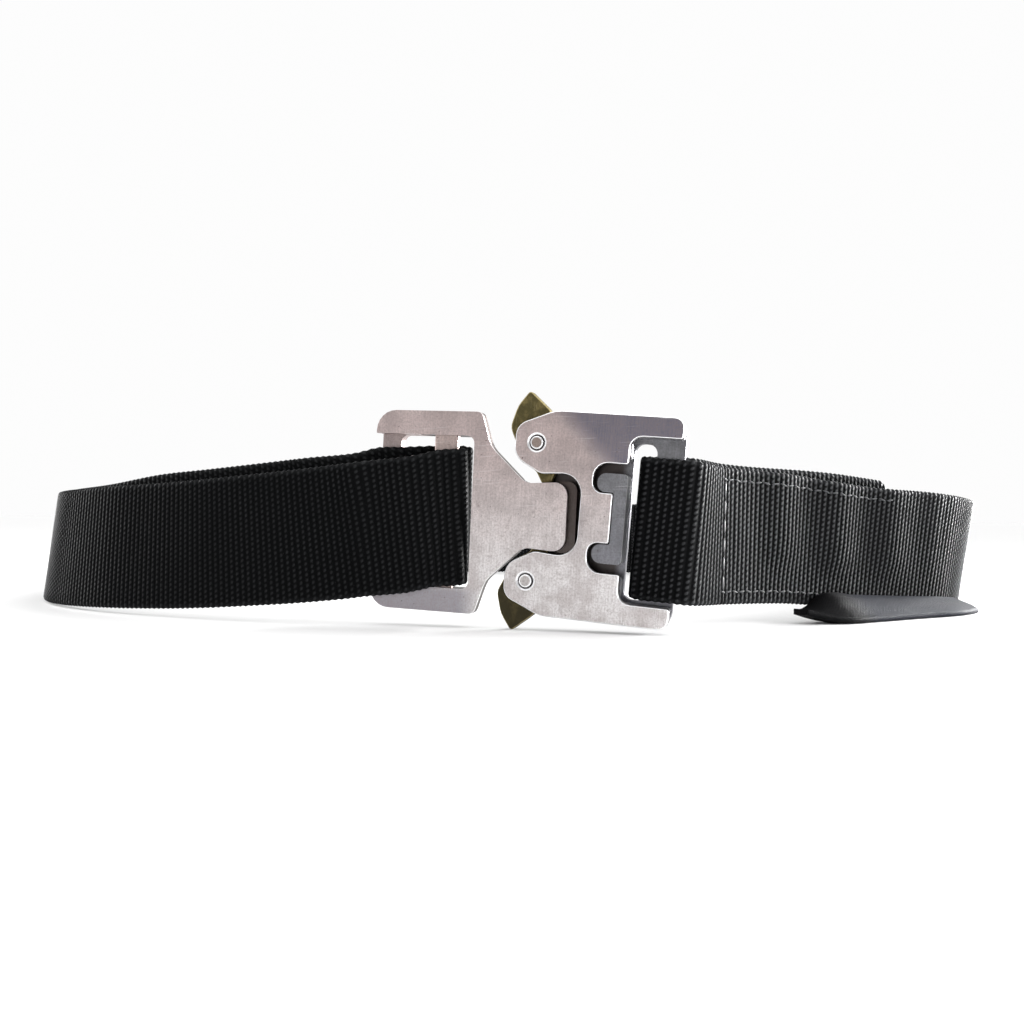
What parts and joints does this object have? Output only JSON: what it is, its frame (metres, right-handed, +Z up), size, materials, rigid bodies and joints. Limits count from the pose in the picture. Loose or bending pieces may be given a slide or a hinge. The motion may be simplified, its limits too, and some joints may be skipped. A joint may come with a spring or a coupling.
{
  "type": "quick-release buckle belt",
  "caption": "Woven waist belt closed by a metal quick-release buckle with sprung thumb levers, standing on its edge as a loop, with a bare folded cloth label.",
  "frame": {"origin": "Middle of the belt's footprint, at the height of its lowest point, on the surface it stands on.", "axes": "+X runs along the wide side of the loop, from the tongue half of the buckle to the mouth half; -Y points out of the front, where the buckle is; +Z is up."},
  "size_m": [0.42, 0.3736, 0.0769],
  "materials": {
    "satin_aluminium": "Satin, worn aluminium with light specks and bright bevelled edges",
    "rivet_steel": "Satin rivet heads",
    "bar_metal": "Satin bar with a faint pink cast",
    "lever_brass": "Dark olive brass, half matt",
    "black_webbing": "Ribbed black nylon webbing",
    "label_cloth": "Dark woven cloth, bare"
  },
  "bodies": {
    "belt": {"male_frame": "satin_aluminium", "adjuster_bar": "bar_metal", "female_front_plate": "satin_aluminium", "female_back_plate": "satin_aluminium", "rivet_top": "rivet_steel", "rivet_bottom": "rivet_steel", "webbing": "black_webbing", "label": "label_cloth"},
    "lever_top": {"lever_top": "lever_brass"},
    "lever_bottom": {"lever_bottom": "lever_brass"}
  },
  "joints": [
    {"name": "lever_top_pivot", "type": "hinge", "parent": "belt", "child": "lever_top", "pos_m": [0.00576, -0.17322, 0.0603], "axis": [-0.2924, -0.9563, 0], "range_deg": [0, 10], "stiffness_Nm_per_rad": 0.05},
    {"name": "lever_bottom_pivot", "type": "hinge", "parent": "belt", "child": "lever_bottom", "pos_m": [0.00239, -0.17219, 0.01604], "axis": [0.2924, 0.9563, 0], "range_deg": [0, 10], "stiffness_Nm_per_rad": 0.05}
  ]
}
